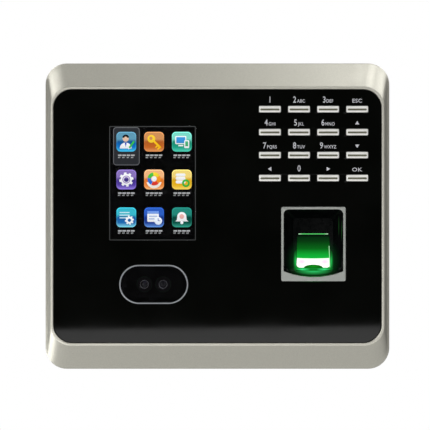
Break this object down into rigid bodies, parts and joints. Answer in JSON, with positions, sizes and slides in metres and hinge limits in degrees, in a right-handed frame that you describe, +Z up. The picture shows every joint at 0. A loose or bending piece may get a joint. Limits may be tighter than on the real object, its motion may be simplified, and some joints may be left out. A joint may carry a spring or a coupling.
{
  "type": "fingerprint scanner terminal",
  "caption": "Wall-mounted fingerprint terminal with a silver frame, black panel, colour screen, keypad, lit finger reader and camera window.",
  "frame": {"origin": "centre of the wall plate's back face, which lies on the wall", "axes": "-Y points out of the wall at the user, +Y into the wall, +Z up, +X to the user's right"},
  "size_m": [0.1676, 0.033, 0.1488],
  "materials": {
    "silver_paint": "satin silver paint on moulded plastic",
    "black_acrylic": "high gloss, screen printed on the back",
    "foam_tape": "matte foam",
    "black_plastic": "fine spark texture",
    "sheet_steel": "zinc-plated sheet",
    "screw_steel": "nickel-plated",
    "screen_glass": "gloss, lit screen",
    "white_plastic": "moulded",
    "silicone": "matte silicone",
    "circuit_board": "green solder mask",
    "bright_plate": "satin bright plating",
    "lit_prism": "polished glass, lit green from behind",
    "lens_glass": "coated lens",
    "chip_epoxy": "matte epoxy",
    "green_plastic": "moulded",
    "black_rubber": "matte rubber",
    "ribbon_film": "amber polyimide film"
  },
  "bodies": {
    "terminal": {"front_frame": "silver_paint", "front_panel": "black_acrylic", "panel_adhesive": "foam_tape", "rear_cover": "black_plastic", "wall_plate": "sheet_steel", "lock_screw": "screw_steel", "housing_screw_1": "screw_steel", "housing_screw_2": "screw_steel", "housing_screw_3": "screw_steel", "housing_screw_4": "screw_steel", "lcd_glass": "screen_glass", "lcd_backlight": "white_plastic", "lcd_frame": "sheet_steel", "keypad_mat": "silicone", "keypad_board": "circuit_board", "fingerprint_bezel": "bright_plate", "fingerprint_well": "black_plastic", "fingerprint_prism": "lit_prism", "fingerprint_board": "circuit_board", "fingerprint_lamp": "white_plastic", "camera_trim_ring": "bright_plate", "camera_barrel_left": "black_plastic", "camera_barrel_right": "black_plastic", "camera_lens_left": "lens_glass", "camera_lens_right": "lens_glass", "camera_board": "circuit_board", "main_board": "circuit_board", "processor": "chip_epoxy", "coin_cell": "screw_steel", "relay": "green_plastic", "ethernet_jack": "sheet_steel", "power_socket": "white_plastic", "terminal_block": "green_plastic", "speaker": "chip_epoxy", "usb_port": "sheet_steel", "tamper_switch": "chip_epoxy", "keypad_ribbon": "ribbon_film", "lcd_ribbon": "ribbon_film", "camera_cable": "ribbon_film", "fingerprint_cable": "black_rubber", "speaker_leads": "black_rubber"},
    "key_1": {"key_1": "bright_plate"},
    "key_2": {"key_2": "bright_plate"},
    "key_3": {"key_3": "bright_plate"},
    "key_esc": {"key_esc": "bright_plate"},
    "key_4": {"key_4": "bright_plate"},
    "key_5": {"key_5": "bright_plate"},
    "key_6": {"key_6": "bright_plate"},
    "key_up": {"key_up": "bright_plate"},
    "key_7": {"key_7": "bright_plate"},
    "key_8": {"key_8": "bright_plate"},
    "key_9": {"key_9": "bright_plate"},
    "key_down": {"key_down": "bright_plate"},
    "key_left": {"key_left": "bright_plate"},
    "key_0": {"key_0": "bright_plate"},
    "key_right": {"key_right": "bright_plate"},
    "key_ok": {"key_ok": "bright_plate"},
    "usb_cover": {"usb_cover": "black_rubber"},
    "tamper_plunger": {"tamper_plunger": "white_plastic"}
  },
  "joints": [
    {"name": "key_1_press", "type": "slide", "parent": "terminal", "child": "key_1", "axis": [0, 1, 0], "range_m": [0, 0.0008], "stiffness_N_per_m": 500, "springref_m": -0.001, "deforming": ["keypad_mat"]},
    {"name": "key_2_press", "type": "slide", "parent": "terminal", "child": "key_2", "axis": [0, 1, 0], "range_m": [0, 0.0008], "stiffness_N_per_m": 500, "springref_m": -0.001, "deforming": ["keypad_mat"]},
    {"name": "key_3_press", "type": "slide", "parent": "terminal", "child": "key_3", "axis": [0, 1, 0], "range_m": [0, 0.0008], "stiffness_N_per_m": 500, "springref_m": -0.001, "deforming": ["keypad_mat"]},
    {"name": "key_esc_press", "type": "slide", "parent": "terminal", "child": "key_esc", "axis": [0, 1, 0], "range_m": [0, 0.0008], "stiffness_N_per_m": 500, "springref_m": -0.001, "deforming": ["keypad_mat"]},
    {"name": "key_4_press", "type": "slide", "parent": "terminal", "child": "key_4", "axis": [0, 1, 0], "range_m": [0, 0.0008], "stiffness_N_per_m": 500, "springref_m": -0.001, "deforming": ["keypad_mat"]},
    {"name": "key_5_press", "type": "slide", "parent": "terminal", "child": "key_5", "axis": [0, 1, 0], "range_m": [0, 0.0008], "stiffness_N_per_m": 500, "springref_m": -0.001, "deforming": ["keypad_mat"]},
    {"name": "key_6_press", "type": "slide", "parent": "terminal", "child": "key_6", "axis": [0, 1, 0], "range_m": [0, 0.0008], "stiffness_N_per_m": 500, "springref_m": -0.001, "deforming": ["keypad_mat"]},
    {"name": "key_up_press", "type": "slide", "parent": "terminal", "child": "key_up", "axis": [0, 1, 0], "range_m": [0, 0.0008], "stiffness_N_per_m": 500, "springref_m": -0.001, "deforming": ["keypad_mat"]},
    {"name": "key_7_press", "type": "slide", "parent": "terminal", "child": "key_7", "axis": [0, 1, 0], "range_m": [0, 0.0008], "stiffness_N_per_m": 500, "springref_m": -0.001, "deforming": ["keypad_mat"]},
    {"name": "key_8_press", "type": "slide", "parent": "terminal", "child": "key_8", "axis": [0, 1, 0], "range_m": [0, 0.0008], "stiffness_N_per_m": 500, "springref_m": -0.001, "deforming": ["keypad_mat"]},
    {"name": "key_9_press", "type": "slide", "parent": "terminal", "child": "key_9", "axis": [0, 1, 0], "range_m": [0, 0.0008], "stiffness_N_per_m": 500, "springref_m": -0.001, "deforming": ["keypad_mat"]},
    {"name": "key_down_press", "type": "slide", "parent": "terminal", "child": "key_down", "axis": [0, 1, 0], "range_m": [0, 0.0008], "stiffness_N_per_m": 500, "springref_m": -0.001, "deforming": ["keypad_mat"]},
    {"name": "key_left_press", "type": "slide", "parent": "terminal", "child": "key_left", "axis": [0, 1, 0], "range_m": [0, 0.0008], "stiffness_N_per_m": 500, "springref_m": -0.001, "deforming": ["keypad_mat"]},
    {"name": "key_0_press", "type": "slide", "parent": "terminal", "child": "key_0", "axis": [0, 1, 0], "range_m": [0, 0.0008], "stiffness_N_per_m": 500, "springref_m": -0.001, "deforming": ["keypad_mat"]},
    {"name": "key_right_press", "type": "slide", "parent": "terminal", "child": "key_right", "axis": [0, 1, 0], "range_m": [0, 0.0008], "stiffness_N_per_m": 500, "springref_m": -0.001, "deforming": ["keypad_mat"]},
    {"name": "key_ok_press", "type": "slide", "parent": "terminal", "child": "key_ok", "axis": [0, 1, 0], "range_m": [0, 0.0008], "stiffness_N_per_m": 500, "springref_m": -0.001, "deforming": ["keypad_mat"]},
    {"name": "usb_cover_hinge", "type": "hinge", "parent": "terminal", "child": "usb_cover", "pos_m": [0.05, -0.0048, -0.0739], "axis": [1, 0, 0], "range_deg": [0, 110]},
    {"name": "tamper_plunger_press", "type": "slide", "parent": "terminal", "child": "tamper_plunger", "axis": [0, -1, 0], "range_m": [0, 0.0008], "stiffness_N_per_m": 200, "springref_m": -0.002}
  ]
}
